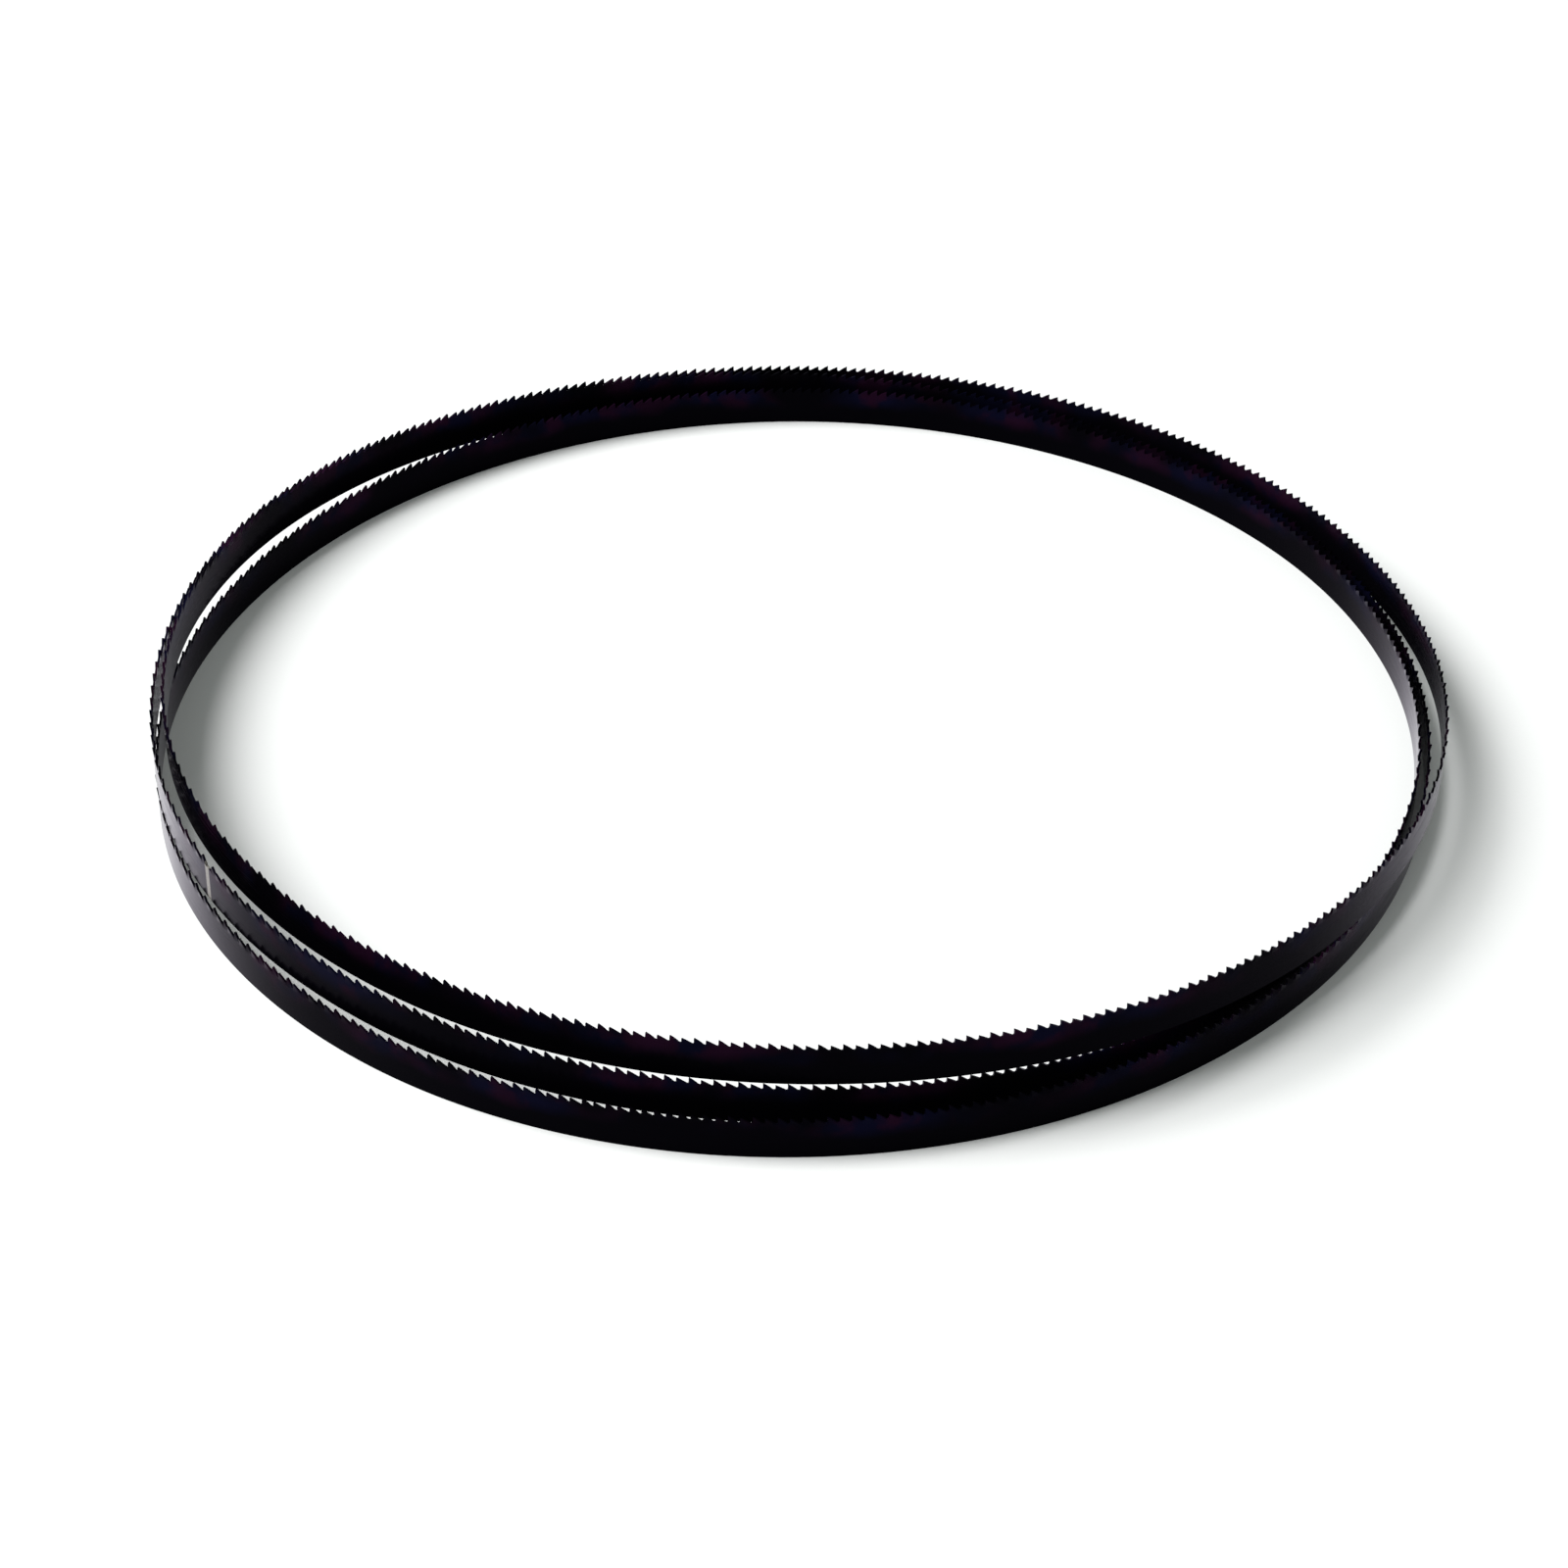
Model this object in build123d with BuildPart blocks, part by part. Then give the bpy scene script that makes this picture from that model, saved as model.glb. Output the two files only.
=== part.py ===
from build123d import *
import os
from math import cos, radians, sin

# A toothed steel band, welded into one endless loop and folded into three
# coils for storage. It lies with its toothed edge up and its back on the floor.
# All sizes are in millimetres. Angles run anticlockwise seen from above,
# from 0 at the right, and go on through all three coils.

band_width = 12.7
band_thickness = 0.65

tooth_count = 1104
tooth_depth = 1.6
weld_tooth = 403          # ground away with the weld that closes the loop

run_count = 48            # the loop is made in runs, each a whole number of teeth
start_angle = -180.0
station_step = 30.0
floor_sink = 0.05         # how far the lowest coils are pressed flat onto the floor

# Centre line of the back edge: radius from the middle, and height, one pair
# for each step of angle. The first coil is the highest, the last the lowest.
# The heights are those of a band as wide as drawn_width. Another band's
# coils rise in proportion to its width, so that they still clear each other.
drawn_width = 12.7
high_coil = [
    (186.1, 15.4), (184.3, 17.1), (180.9, 16.3), (180.7, 17.1), (183.6, 17.2), (186.0, 14.2),
    (188.8, 10.1), (189.4, 7.3), (189.0, 5.6), (189.5, 4.3), (190.3, 5.5), (189.9, 9.8),
]
middle_coil = [
    (188.8, 12.5), (190.5, 13.1), (188.5, 10.2), (183.0, 5.7), (179.7, 2.1), (179.7, 0.4),
    (182.3, 0.0), (183.9, 0.0), (183.1, 0.0), (182.1, 0.0), (180.9, 0.0), (182.6, 0.0),
]
low_coil = [
    (187.3, 0.0), (191.4, 0.0), (192.2, 0.0), (189.4, 0.0), (185.6, 0.0), (183.8, 0.0),
    (184.9, 0.0), (186.7, 0.0), (186.2, 0.9), (186.3, 3.8), (187.3, 7.0), (187.1, 11.4),
]


def station_point(index, radius, height):
    angle = radians(start_angle + index * station_step)
    lift = height * band_width / drawn_width
    level = lift if lift > floor_sink else -floor_sink
    return (radius * cos(angle), radius * sin(angle), level)


stations = [
    station_point(index, radius, height)
    for index, (radius, height) in enumerate(high_coil + middle_coil + low_coil)
]
with BuildLine() as loop:
    Spline(*stations, periodic=True)
back_line = loop.edges()[0]

tooth_pitch = back_line.length / tooth_count
slope_fall = tooth_depth / tooth_pitch
tip_overrun = 0.3         # the gaps overlap by this much above the tips
head_room = 1.0           # how far the gaps reach above the tips
cut_reach = 4.0           # across the band, on both sides together


def across(fraction):
    """Plane square to the band, with its y axis up, at a fraction of the loop."""
    along = back_line % fraction
    return Plane(
        origin=back_line @ fraction, x_dir=(-along.Y, along.X, 0), z_dir=(along.X, along.Y, 0)
    )


def beside(fraction):
    """Plane along the band's side, with its x axis along the band, at a fraction of the loop."""
    along = back_line % fraction
    return Plane(origin=back_line @ fraction, x_dir=along, z_dir=(along.Y, -along.X, 0))


# The gap in front of each tooth: a long back slope that ends at the upright
# face of the next tooth.
with BuildPart() as tooth_gap:
    with BuildSketch(Plane.XY.offset(-cut_reach / 2)):
        with BuildLine():
            Polyline(
                (-tip_overrun, band_width + tip_overrun * slope_fall),
                (tooth_pitch, band_width - tooth_depth),
                (tooth_pitch, band_width + head_room),
                (-tip_overrun, band_width + head_room),
                close=True,
            )
        make_face()
    extrude(amount=cut_reach)

# At the weld one tooth is missing down to the bottom of the gaps.
with BuildPart() as weld_gap:
    with BuildSketch(Plane.XY.offset(-cut_reach / 2)):
        with Locations((tooth_pitch / 2, band_width - tooth_depth)):
            Rectangle(tooth_pitch, tooth_depth + head_room, align=(Align.CENTER, Align.MIN))
    extrude(amount=cut_reach)


def gap_at(tooth):
    shape = weld_gap.part if tooth == weld_tooth else tooth_gap.part
    return beside(tooth / tooth_count).location * shape


def toothed_run(number):
    first_tooth = number * tooth_count // run_count
    next_first = (number + 1) * tooth_count // run_count
    start = first_tooth / tooth_count
    end = next_first / tooth_count
    lower_edge = back_line.trim(start, end)
    upper_edge = lower_edge.moved(Location((0, 0, band_width)))
    with BuildPart() as run:
        with BuildLine() as way:
            add(lower_edge)
        with BuildSketch(across(start)):
            Rectangle(band_thickness, band_width, align=(Align.CENTER, Align.MIN))
        sweep(path=way.line, binormal=upper_edge)
        if run.part.bounding_box().min.Z < 0:
            split(bisect_by=Plane.XY, keep=Keep.TOP)
        add([gap_at(tooth) for tooth in range(first_tooth, next_first)], mode=Mode.SUBTRACT)
    return run.part


# The runs only meet at their ends, so they are glued there.
runs = [toothed_run(number) for number in range(run_count)]
closed_loop = runs[0].fuse(*runs[1:], glue=True)

with BuildPart() as saw_band:
    add(closed_loop)

saw_band.part.label = "saw_band"
os.makedirs("parts", exist_ok=True)
export_step(saw_band.part, "parts/saw_band.step")
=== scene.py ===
"""Dresses the band saw blade: a toothed steel band, folded into three coils."""

import bpy
import numpy as np
from mathutils import Matrix, Vector


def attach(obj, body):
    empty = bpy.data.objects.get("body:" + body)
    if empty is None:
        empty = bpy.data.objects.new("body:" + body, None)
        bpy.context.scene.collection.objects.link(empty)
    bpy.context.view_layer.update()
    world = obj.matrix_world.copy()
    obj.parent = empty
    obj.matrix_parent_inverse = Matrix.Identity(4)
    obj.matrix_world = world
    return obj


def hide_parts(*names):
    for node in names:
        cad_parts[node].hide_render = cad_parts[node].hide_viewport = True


bl_info = {
    "name": "Band saw blade",
    "version": (1, 0, 0),
    "blender": (4, 5, 0),
    "location": "3D View > Sidebar > Blade",
    "description": "Makes a folded band saw blade with its steel, and a pale stage for it",
    "category": "Object",
}

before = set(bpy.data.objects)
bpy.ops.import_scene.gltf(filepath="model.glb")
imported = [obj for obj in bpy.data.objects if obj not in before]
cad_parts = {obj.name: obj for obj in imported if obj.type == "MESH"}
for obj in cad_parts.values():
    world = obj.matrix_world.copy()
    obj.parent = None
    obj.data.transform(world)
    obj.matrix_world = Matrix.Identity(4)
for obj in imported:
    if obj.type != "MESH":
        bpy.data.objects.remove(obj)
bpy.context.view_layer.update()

MM = 0.001

# The line that the band's back edge follows: radius and height in
# millimetres, one pair for each step of angle. The angle goes anticlockwise
# through three coils, from the left.
START_ANGLE = -180
STATION_STEP = 30
HIGH_COIL = [
    (186.1, 15.4), (184.3, 17.1), (180.9, 16.3), (180.7, 17.1), (183.6, 17.2), (186.0, 14.2),
    (188.8, 10.1), (189.4, 7.3), (189.0, 5.6), (189.5, 4.3), (190.3, 5.5), (189.9, 9.8),
]
MIDDLE_COIL = [
    (188.8, 12.5), (190.5, 13.1), (188.5, 10.2), (183.0, 5.7), (179.7, 2.1), (179.7, 0.4),
    (182.3, 0.0), (183.9, 0.0), (183.1, 0.0), (182.1, 0.0), (180.9, 0.0), (182.6, 0.0),
]
LOW_COIL = [
    (187.3, 0.0), (191.4, 0.0), (192.2, 0.0), (189.4, 0.0), (185.6, 0.0), (183.8, 0.0),
    (184.9, 0.0), (186.7, 0.0), (186.2, 0.9), (186.3, 3.8), (187.3, 7.0), (187.1, 11.4),
]

# One tooth place from its tip to the foot of the next tooth's face: how far
# along it in pitches, and how far up from the bottom of the gullet in depths.
TOOTH_PROFILE = (
    (0.0, 1.0), (0.05, 0.99), (0.35, 0.67), (0.62, 0.32), (0.75, 0.13),
    (0.84, 0.02), (0.91, 0.01), (0.97, 0.10), (1.0, 0.28),
)

# Two rows of points below the gullets, in tooth depths below the tips. Between
# them the shading of the teeth ends, so that it doesn't streak the flat walls.
ROOT_ROW = 1.35
CALM_ROW = 1.5

BACK_SOFTENING = 0.12     # both corners of the back, in thicknesses
UNEVEN_SET = (0.8, 1.2)   # the least and the most that a tooth is bent, in tooth sets
JOINING_GAP = 0.005 * MM  # points of neighbouring teeth this near are made one
SHARP_ANGLE = 0.6         # in radians

# The steel. Where it is seen along its face it mirrors like bare metal.
FACING_SPAN = (0.5, 0.94)
METAL_FROM_FRONT = 0.1
METAL_ALONG_FACE = 0.84
STEEL_IOR = 1.02
MIRROR_TINT = (0.96, 0.92, 1.0)
ROUGHNESS_SPAN = (0.16, 0.3)
LINE_STRENGTH = 0.1
LINE_HEIGHT = 0.02 * MM

# The ground strip at the weld, in tooth pitches.
STRIP_SHIFT = 0.15
STRIP_EDGE = (0.34, 0.56)
STRIP_UNEVEN = 0.2

# The camera of the photograph, in metres and radians.
CAMERA_PLACE = (-0.0047, -0.9064, 0.6381)
CAMERA_DOWN = 0.6275
CAMERA_ROLL = 0.0142
CAMERA_LENS = 85.43
CAMERA_SENSOR = 36.0

# The stage, in metres and watts. Cameras and mirrors see a brighter sky and
# paper than the ones that light the blade, as in an overexposed photograph.
FLOOR_HALF = 6.0
FLOOR_DROP = 0.05 * MM    # keeps the floor clear of the band's back edge
PAPER_DARK = (0.93, 0.94, 0.935)
PAPER_LIGHT = (0.95, 0.96, 0.955)
PAPER_GRAIN = 900.0
PAPER_BOOST = 0.4
SKY_COLOUR = (0.95, 1.0, 0.965)
SKY_SEEN = 1.0
SKY_LIGHT = 0.3
LAMP_PLACE = (-3.05, 0.0, 3.95)
LAMP_SIZE = 3.7
LAMP_POWER = 318.0


class BladeSettings(bpy.types.PropertyGroup):
    band_width: bpy.props.FloatProperty(
        name="Width", description="From the tooth tips to the back of the band",
        default=12.7 * MM, unit="LENGTH")
    band_thickness: bpy.props.FloatProperty(
        name="Thickness", description="Thickness of the band",
        default=0.65 * MM, unit="LENGTH")
    tooth_count: bpy.props.IntProperty(
        name="Teeth", description="Number of tooth places round the whole loop",
        default=1104)
    tooth_depth: bpy.props.FloatProperty(
        name="Tooth depth", description="From the tooth tips to the bottom of the gullets",
        default=1.6 * MM, unit="LENGTH")
    tooth_set: bpy.props.FloatProperty(
        name="Tooth set", description="How far the tips are bent to each side in turn",
        default=0.27 * MM, unit="LENGTH")
    weld_tooth: bpy.props.IntProperty(
        name="Weld tooth", description="The tooth that is ground away at the weld",
        default=403)
    steel_colour: bpy.props.FloatVectorProperty(
        name="Blued steel", description="Colour of the steel seen from the front",
        default=(0.0014, 0.0012, 0.0022), subtype="COLOR")
    blue_tint: bpy.props.FloatVectorProperty(
        name="Blue tint", description="Blue that the heat of hardening leaves in patches",
        default=(0.003, 0.003, 0.012), subtype="COLOR")
    purple_tint: bpy.props.FloatVectorProperty(
        name="Purple tint", description="Purple that the heat of hardening leaves in patches",
        default=(0.012, 0.003, 0.011), subtype="COLOR")
    weld_colour: bpy.props.FloatVectorProperty(
        name="Bare weld", description="Colour of the strip that is ground bright at the weld",
        default=(0.22, 0.21, 0.19), subtype="COLOR")
    seed: bpy.props.IntProperty(
        name="Seed", description="Seed of the small differences between the teeth",
        default=7)


# Shapes of the band.

def loop_points():
    """Station points of the back edge, in metres."""
    stations = np.array(HIGH_COIL + MIDDLE_COIL + LOW_COIL) * MM
    angles = np.radians(START_ANGLE + STATION_STEP * np.arange(len(stations)))
    radii, heights = stations[:, 0], stations[:, 1]
    return np.column_stack((radii * np.cos(angles), radii * np.sin(angles), heights))


def smooth_slopes(points):
    """Slope per metre of chord at each point of a closed line without kinks, and the chords."""
    count = len(points)
    chords = np.linalg.norm(np.roll(points, -1, axis=0) - points, axis=1)
    matrix = np.zeros((count, count))
    right = np.zeros((count, 3))
    for i in range(count):
        before, after = chords[i - 1], chords[i]
        matrix[i, i - 1] = after
        matrix[i, i] = 2 * (before + after)
        matrix[i, (i + 1) % count] = before
        step_in = (points[i] - points[i - 1]) / before
        step_out = (points[(i + 1) % count] - points[i]) / after
        right[i] = 3 * (after * step_in + before * step_out)
    return np.linalg.solve(matrix, right), chords


def loop_curve():
    """The back edge as a closed Bezier curve."""
    points = loop_points()
    slopes, chords = smooth_slopes(points)
    curve = bpy.data.curves.new("blade_line", "CURVE")
    curve.dimensions = "3D"
    curve.resolution_u = 64
    spline = curve.splines.new("BEZIER")
    spline.bezier_points.add(len(points) - 1)
    spline.use_cyclic_u = True
    for i, knot in enumerate(spline.bezier_points):
        knot.handle_left_type = knot.handle_right_type = "FREE"
        knot.co = points[i]
        knot.handle_left = points[i] - slopes[i] * chords[i - 1] / 3
        knot.handle_right = points[i] + slopes[i] * chords[i] / 3
    return curve


def tooth_cell(settings, pitch):
    """A straight piece of band, one tooth long, with its back at the bottom."""
    half = settings.band_thickness / 2
    width, depth = settings.band_width, settings.tooth_depth
    root = width - ROOT_ROW * depth
    calm = width - CALM_ROW * depth
    soft = BACK_SOFTENING * settings.band_thickness
    verts, faces, rings = [], [], []
    for along, up in TOOTH_PROFILE:
        x = along * pitch
        top = width - depth + up * depth
        ring = [
            (x, -half + soft, 0.0), (x, -half, soft), (x, -half, calm), (x, -half, root),
            (x, -half, top), (x, half, top),
            (x, half, root), (x, half, calm), (x, half, soft), (x, half - soft, 0.0),
        ]
        rings.append(list(range(len(verts), len(verts) + len(ring))))
        verts += ring
    for one, two in zip(rings, rings[1:]):
        for i in range(len(one)):
            j = (i + 1) % len(one)
            faces.append((one[i], two[i], two[j], one[j]))
    # The next tooth's upright face.
    foot = rings[-1]
    tip = len(verts)
    verts += [(pitch, -half, width), (pitch, half, width)]
    faces.append((foot[4], tip, tip + 1, foot[5]))
    mesh = bpy.data.meshes.new("tooth_cell")
    mesh.from_pydata(verts, [], faces)
    mesh.update()
    return mesh


# Node trees.

def add_node(tree, kind, **values):
    """A new node of a tree, with its own settings."""
    node = tree.nodes.new(kind)
    for name, value in values.items():
        setattr(node, name, value)
    return node


def calc(tree, operation, first, second=None, third=None):
    """A math node; numbers are set on its sockets, sockets are linked."""
    node = add_node(tree, "ShaderNodeMath", operation=operation)
    for socket, value in zip(node.inputs, (first, second, third)):
        if isinstance(value, (int, float)):
            socket.default_value = value
        elif value is not None:
            tree.links.new(value, socket)
    return node.outputs[0]


def band_nodes():
    """Node group: lays tooth cells in a row, sets the teeth and bends the row along a line."""
    tree = bpy.data.node_groups.new("Toothed band", "GeometryNodeTree")
    face = tree.interface
    face.new_socket("Geometry", in_out="INPUT", socket_type="NodeSocketGeometry")
    for name, kind in (
        ("Line", "NodeSocketObject"), ("Teeth", "NodeSocketInt"), ("Pitch", "NodeSocketFloat"),
        ("Width", "NodeSocketFloat"), ("Tooth depth", "NodeSocketFloat"),
        ("Tooth set", "NodeSocketFloat"), ("Weld tooth", "NodeSocketInt"),
        ("Seed", "NodeSocketInt"), ("Material", "NodeSocketMaterial"),
    ):
        face.new_socket(name, in_out="INPUT", socket_type=kind)
    face.new_socket("Geometry", in_out="OUTPUT", socket_type="NodeSocketGeometry")
    link = tree.links.new
    given = add_node(tree, "NodeGroupInput").outputs
    result = add_node(tree, "NodeGroupOutput").inputs[0]

    # A straight row of cells, each with its tooth number.
    row = add_node(tree, "GeometryNodeMeshLine", mode="OFFSET")
    link(given["Teeth"], row.inputs["Count"])
    offset = add_node(tree, "ShaderNodeCombineXYZ")
    link(given["Pitch"], offset.inputs["X"])
    link(offset.outputs[0], row.inputs["Offset"])
    place = add_node(tree, "GeometryNodeInstanceOnPoints")
    link(row.outputs[0], place.inputs["Points"])
    link(given["Geometry"], place.inputs["Instance"])
    number = add_node(
        tree, "GeometryNodeStoreNamedAttribute", data_type="INT", domain="INSTANCE")
    number.inputs["Name"].default_value = "tooth"
    link(place.outputs[0], number.inputs["Geometry"])
    link(add_node(tree, "GeometryNodeInputIndex").outputs[0], number.inputs["Value"])
    real = add_node(tree, "GeometryNodeRealizeInstances")
    link(number.outputs[0], real.inputs[0])

    tooth = add_node(tree, "GeometryNodeInputNamedAttribute", data_type="INT")
    tooth.inputs["Name"].default_value = "tooth"
    tooth = tooth.outputs["Attribute"]
    spot = add_node(tree, "ShaderNodeSeparateXYZ")
    link(add_node(tree, "GeometryNodeInputPosition").outputs[0], spot.inputs[0])
    along, aside, height = spot.outputs

    # The material finds its place on the band by these two: teeth along, and widths across.
    flat = real.outputs[0]
    for name, length, unit in (
        ("along", along, given["Pitch"]), ("across", height, given["Width"]),
    ):
        measured = add_node(
            tree, "GeometryNodeStoreNamedAttribute", data_type="FLOAT", domain="POINT")
        measured.inputs["Name"].default_value = name
        link(flat, measured.inputs["Geometry"])
        link(calc(tree, "DIVIDE", length, unit), measured.inputs["Value"])
        flat = measured.outputs[0]

    # The tooth at the weld is ground down to the gullets.
    ground = calc(tree, "SUBTRACT", given["Width"], given["Tooth depth"])
    at_weld = calc(tree, "COMPARE", tooth, given["Weld tooth"], 0.5)
    low = calc(tree, "MINIMUM", height, ground)
    cut = calc(tree, "MULTIPLY", calc(tree, "SUBTRACT", low, height), at_weld)
    height = calc(tree, "ADD", height, cut)

    # Every other tooth is bent to the other side, each a little differently.
    rise = calc(tree, "DIVIDE", calc(tree, "SUBTRACT", height, ground), given["Tooth depth"])
    rise = calc(tree, "MAXIMUM", rise, 0.0)
    nearest = calc(tree, "DIVIDE", along, given["Pitch"])
    nearest = calc(tree, "ROUND", calc(tree, "SUBTRACT", nearest, 0.25))
    odd = calc(tree, "FLOORED_MODULO", nearest, 2.0)
    side = calc(tree, "SUBTRACT", calc(tree, "MULTIPLY", odd, 2.0), 1.0)
    uneven = add_node(tree, "FunctionNodeRandomValue", data_type="FLOAT")
    for socket in uneven.inputs:
        if socket.enabled and socket.name == "Min":
            socket.default_value = UNEVEN_SET[0]
        if socket.enabled and socket.name == "Max":
            socket.default_value = UNEVEN_SET[1]
    link(nearest, uneven.inputs["ID"])
    link(given["Seed"], uneven.inputs["Seed"])
    amount = next(socket for socket in uneven.outputs if socket.enabled)
    reach = calc(tree, "MULTIPLY", amount, given["Tooth set"])
    bend = calc(tree, "MULTIPLY", calc(tree, "MULTIPLY", rise, side), reach)
    aside = calc(tree, "ADD", aside, bend)

    # The row is bent round: a place along it becomes a place on the line.
    line = add_node(tree, "GeometryNodeObjectInfo")
    link(given["Line"], line.inputs[0])
    whole = calc(tree, "MULTIPLY", given["Teeth"], given["Pitch"])
    share = calc(tree, "DIVIDE", along, whole)
    sample = add_node(tree, "GeometryNodeSampleCurve", mode="FACTOR")
    link(line.outputs["Geometry"], sample.inputs["Curves"])
    link(share, sample.inputs["Factor"])
    outward = add_node(tree, "ShaderNodeVectorMath", operation="CROSS_PRODUCT")
    link(sample.outputs["Tangent"], outward.inputs[0])
    outward.inputs[1].default_value = (0.0, 0.0, 1.0)
    unit = add_node(tree, "ShaderNodeVectorMath", operation="NORMALIZE")
    link(outward.outputs[0], unit.inputs[0])
    sideways = add_node(tree, "ShaderNodeVectorMath", operation="SCALE")
    link(unit.outputs[0], sideways.inputs[0])
    link(aside, sideways.inputs["Scale"])
    upward = add_node(tree, "ShaderNodeCombineXYZ")
    link(height, upward.inputs["Z"])
    lifted = add_node(tree, "ShaderNodeVectorMath", operation="ADD")
    link(sideways.outputs[0], lifted.inputs[0])
    link(upward.outputs[0], lifted.inputs[1])
    final = add_node(tree, "ShaderNodeVectorMath", operation="ADD")
    link(sample.outputs["Position"], final.inputs[0])
    link(lifted.outputs[0], final.inputs[1])
    bent = add_node(tree, "GeometryNodeSetPosition")
    link(flat, bent.inputs["Geometry"])
    link(final.outputs[0], bent.inputs["Position"])

    joined = add_node(tree, "GeometryNodeMergeByDistance")
    joined.inputs["Distance"].default_value = JOINING_GAP
    link(bent.outputs[0], joined.inputs["Geometry"])
    plain = add_node(tree, "GeometryNodeRealizeInstances")
    link(joined.outputs[0], plain.inputs[0])
    painted = add_node(tree, "GeometryNodeSetMaterial")
    link(plain.outputs[0], painted.inputs["Geometry"])
    link(given["Material"], painted.inputs["Material"])
    link(painted.outputs[0], result)
    return tree


# Materials.

def fade(tree, value, low, high):
    """Rises smoothly from 0 to 1 while the value goes from low to high."""
    node = add_node(tree, "ShaderNodeMapRange", interpolation_type="SMOOTHSTEP")
    tree.links.new(value, node.inputs["Value"])
    node.inputs["From Min"].default_value = low
    node.inputs["From Max"].default_value = high
    return node.outputs[0]


def noise(tree, vector, scale, detail):
    """Soft noise between 0 and 1, around 0.5."""
    node = add_node(tree, "ShaderNodeTexNoise")
    tree.links.new(vector, node.inputs["Vector"])
    node.inputs["Scale"].default_value = scale
    node.inputs["Detail"].default_value = detail
    return node.outputs["Fac"]


def blend(tree, share, first, second):
    """Mix of two colours, each given as numbers or as a socket."""
    node = add_node(tree, "ShaderNodeMix", data_type="RGBA")
    tree.links.new(share, node.inputs["Factor"])
    for socket, colour in zip(node.inputs[6:8], (first, second)):
        if isinstance(colour, bpy.types.NodeSocket):
            tree.links.new(colour, socket)
        else:
            socket.default_value = (*colour, 1)
    return node.outputs[2]


def band_steel(settings):
    """Blued steel, black from the front and pale along its face, with a bright weld."""
    material = bpy.data.materials.new("band_steel")
    material.use_nodes = True
    tree = material.node_tree
    link = tree.links.new
    shader = tree.nodes["Principled BSDF"]
    place = add_node(tree, "ShaderNodeTexCoord").outputs["Object"]
    along = add_node(tree, "ShaderNodeAttribute", attribute_name="along").outputs["Fac"]
    across = add_node(tree, "ShaderNodeAttribute", attribute_name="across").outputs["Fac"]

    # Fine lines along the band, as the rolling leaves them.
    rolled = add_node(tree, "ShaderNodeCombineXYZ")
    link(calc(tree, "MULTIPLY", along, 0.07), rolled.inputs["X"])
    link(calc(tree, "MULTIPLY", across, 14.0), rolled.inputs["Y"])
    lines = noise(tree, rolled.outputs[0], 2.2, 6.0)

    # The heat of hardening tints the toothed half blue and purple in patches.
    wander = calc(tree, "MULTIPLY", noise(tree, place, 60.0, 3.0), 0.5)
    hot = fade(tree, calc(tree, "ADD", across, wander), 0.62, 1.05)
    purple = fade(tree, noise(tree, place, 95.0, 3.0), 0.42, 0.6)
    heat = blend(tree, purple, settings.blue_tint, settings.purple_tint)
    patches = fade(tree, noise(tree, place, 40.0, 2.0), 0.35, 0.65)
    tinted = calc(tree, "MULTIPLY", hot, patches)
    colour = blend(tree, tinted, settings.steel_colour, heat)

    # The weld is ground bright, in a narrow strip across the band.
    strip = settings.weld_tooth + STRIP_SHIFT
    off = calc(tree, "ABSOLUTE", calc(tree, "SUBTRACT", along, strip))
    edge = calc(tree, "ADD", off, calc(tree, "MULTIPLY", lines, STRIP_UNEVEN))
    bare = calc(tree, "SUBTRACT", 1.0, fade(tree, edge, *STRIP_EDGE))
    colour = blend(tree, bare, colour, settings.weld_colour)
    link(colour, shader.inputs["Base Color"])

    polish = add_node(tree, "ShaderNodeMapRange")
    link(lines, polish.inputs["Value"])
    polish.inputs["From Min"].default_value = 0.3
    polish.inputs["From Max"].default_value = 0.7
    polish.inputs["To Min"].default_value = ROUGHNESS_SPAN[0]
    polish.inputs["To Max"].default_value = ROUGHNESS_SPAN[1]
    link(polish.outputs[0], shader.inputs["Roughness"])

    bump = add_node(tree, "ShaderNodeBump")
    bump.inputs["Strength"].default_value = LINE_STRENGTH
    bump.inputs["Distance"].default_value = LINE_HEIGHT
    link(lines, bump.inputs["Height"])
    link(bump.outputs[0], shader.inputs["Normal"])

    # Seen along its face the steel mirrors like bare metal, from the front hardly at all.
    facing = add_node(tree, "ShaderNodeLayerWeight").outputs["Facing"]
    glancing = fade(tree, facing, *FACING_SPAN)
    gain = calc(tree, "MULTIPLY", glancing, METAL_ALONG_FACE - METAL_FROM_FRONT)
    link(calc(tree, "ADD", gain, METAL_FROM_FRONT), shader.inputs["Metallic"])
    shader.inputs["IOR"].default_value = STEEL_IOR
    shader.inputs["Specular Tint"].default_value = (*MIRROR_TINT, 1)
    return material


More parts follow.
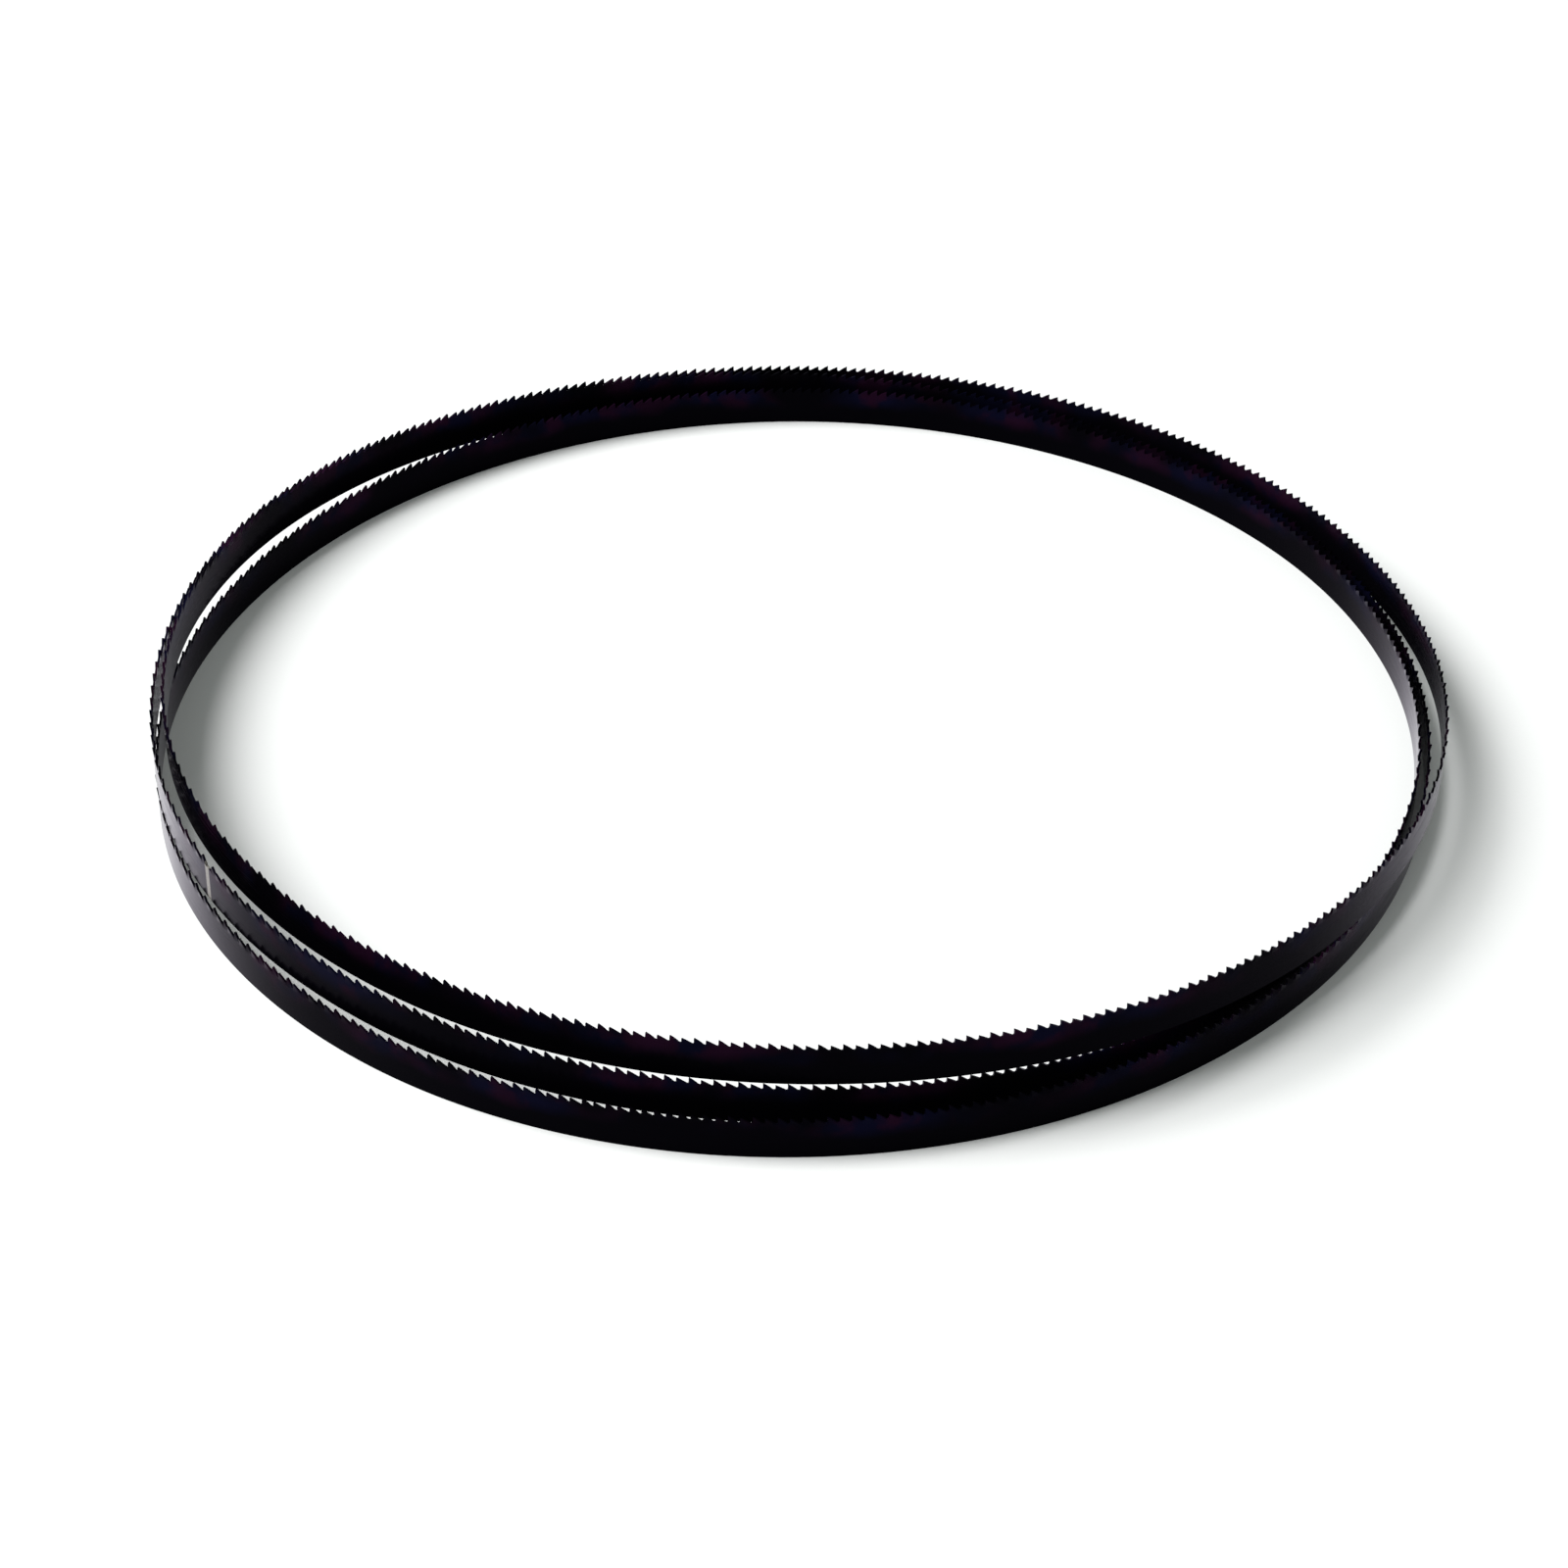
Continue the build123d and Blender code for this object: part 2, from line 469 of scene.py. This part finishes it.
def stage_paper():
    """Smooth white paper."""
    material = bpy.data.materials.new("stage_paper")
    material.use_nodes = True
    tree = material.node_tree
    shader = tree.nodes["Principled BSDF"]
    grain = add_node(tree, "ShaderNodeTexNoise")
    tree.links.new(add_node(tree, "ShaderNodeTexCoord").outputs["Object"], grain.inputs["Vector"])
    grain.inputs["Scale"].default_value = PAPER_GRAIN
    tint = add_node(tree, "ShaderNodeValToRGB")
    tint.color_ramp.elements[0].color = (*PAPER_DARK, 1)
    tint.color_ramp.elements[1].color = (*PAPER_LIGHT, 1)
    tree.links.new(grain.outputs["Fac"], tint.inputs["Fac"])
    # Paper is overexposed in a photograph, which mirrored paper still shows.
    mirrored = add_node(tree, "ShaderNodeLightPath").outputs["Is Glossy Ray"]
    boost = calc(tree, "ADD", calc(tree, "MULTIPLY", mirrored, PAPER_BOOST), 1.0)
    bright = add_node(tree, "ShaderNodeVectorMath", operation="SCALE")
    tree.links.new(tint.outputs["Color"], bright.inputs[0])
    tree.links.new(boost, bright.inputs["Scale"])
    tree.links.new(bright.outputs[0], shader.inputs["Base Color"])
    shader.inputs["Roughness"].default_value = 0.9
    shader.inputs["Specular IOR Level"].default_value = 0.1
    return material


# Operators, one for the band and one for its stage.

def set_inputs(modifier, values):
    """Sets a node group's inputs by the identifiers of its sockets."""
    for item in modifier.node_group.interface.items_tree:
        if item.item_type == "SOCKET" and item.in_out == "INPUT" and item.name in values:
            modifier[item.identifier] = values[item.name]


class BLADE_OT_band(bpy.types.Operator):
    """Makes the folded band with its teeth"""
    bl_idname = "blade.band"
    bl_label = "Band"

    def execute(self, context):
        settings = context.scene.blade
        line = bpy.data.objects.new("blade_line", loop_curve())
        context.collection.objects.link(line)
        pitch = line.data.splines[0].calc_length() / settings.tooth_count
        cell = bpy.data.objects.new("blade_band", tooth_cell(settings, pitch))
        context.collection.objects.link(cell)
        modifier = cell.modifiers.new("Toothed band", "NODES")
        modifier.node_group = band_nodes()
        steel = band_steel(settings)
        set_inputs(modifier, {
            "Line": line, "Teeth": settings.tooth_count, "Pitch": pitch,
            "Width": settings.band_width, "Tooth depth": settings.tooth_depth,
            "Tooth set": settings.tooth_set, "Weld tooth": settings.weld_tooth,
            "Seed": settings.seed, "Material": steel,
        })
        cell.update_tag()
        graph = context.evaluated_depsgraph_get()
        mesh = bpy.data.meshes.new_from_object(cell.evaluated_get(graph))
        if not mesh.polygons:
            raise RuntimeError("The band came out without faces")
        cell.modifiers.clear()
        cell.data = mesh
        mesh.shade_smooth()
        mesh.set_sharp_from_angle(angle=SHARP_ANGLE)
        bpy.data.objects.remove(line)
        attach(cell, "root")
        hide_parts("saw_band")
        return {"FINISHED"}


class BLADE_OT_stage(bpy.types.Operator):
    """Makes the floor, the lights and the camera"""
    bl_idname = "blade.stage"
    bl_label = "Stage"

    def execute(self, context):
        scene = context.scene
        half = FLOOR_HALF
        floor_mesh = bpy.data.meshes.new("stage_floor")
        floor_mesh.from_pydata(
            [(-half, -half, 0), (half, -half, 0), (half, half, 0), (-half, half, 0)],
            [], [(0, 1, 2, 3)])
        floor = bpy.data.objects.new("stage_floor", floor_mesh)
        floor.location.z = -FLOOR_DROP
        floor_mesh.materials.append(stage_paper())
        context.collection.objects.link(floor)

        world = bpy.data.worlds.new("stage_world")
        scene.world = world
        world.use_nodes = True
        tree = world.node_tree
        sky = tree.nodes["Background"]
        sky.inputs["Color"].default_value = (*SKY_COLOUR, 1)
        path = add_node(tree, "ShaderNodeLightPath")
        seen = calc(tree, "MAXIMUM", path.outputs["Is Camera Ray"],
                    path.outputs["Is Glossy Ray"])
        strength = calc(
            tree, "ADD", calc(tree, "MULTIPLY", seen, SKY_SEEN - SKY_LIGHT), SKY_LIGHT)
        tree.links.new(strength, sky.inputs["Strength"])

        key = bpy.data.lights.new("stage_key", "AREA")
        key.shape = "DISK"
        key.size = LAMP_SIZE
        key.energy = LAMP_POWER
        lamp = bpy.data.objects.new("stage_key", key)
        lamp.location = LAMP_PLACE
        lamp.rotation_euler = (-lamp.location).to_track_quat("-Z", "Y").to_euler()
        context.collection.objects.link(lamp)

        lens = bpy.data.cameras.new("photo_camera")
        lens.lens = CAMERA_LENS
        lens.sensor_width = CAMERA_SENSOR
        camera = bpy.data.objects.new("photo_camera", lens)
        context.collection.objects.link(camera)
        tilt = Matrix.Rotation(CAMERA_ROLL, 4, "Z")
        look_down = Matrix.Rotation(np.pi / 2 - CAMERA_DOWN, 4, "X")
        camera.matrix_world = Matrix.Translation(CAMERA_PLACE) @ look_down @ tilt
        scene.camera = camera
        scene.view_settings.view_transform = "Standard"
        return {"FINISHED"}


class BLADE_PT_panel(bpy.types.Panel):
    """Settings of the blade and buttons for its pieces"""
    bl_label = "Blade"
    bl_idname = "BLADE_PT_panel"
    bl_space_type = "VIEW_3D"
    bl_region_type = "UI"
    bl_category = "Blade"

    def draw(self, context):
        layout = self.layout
        for name in BladeSettings.__annotations__:
            layout.prop(context.scene.blade, name)
        layout.operator("blade.band")
        layout.operator("blade.stage")


CLASSES = (BladeSettings, BLADE_OT_band, BLADE_OT_stage, BLADE_PT_panel)


def register():
    for item in CLASSES:
        bpy.utils.register_class(item)
    bpy.types.Scene.blade = bpy.props.PointerProperty(type=BladeSettings)


def unregister():
    del bpy.types.Scene.blade
    for item in reversed(CLASSES):
        bpy.utils.unregister_class(item)


def main():
    register()
    bpy.ops.blade.stage()
    bpy.ops.blade.band()


if __name__ == "__main__":
    main()
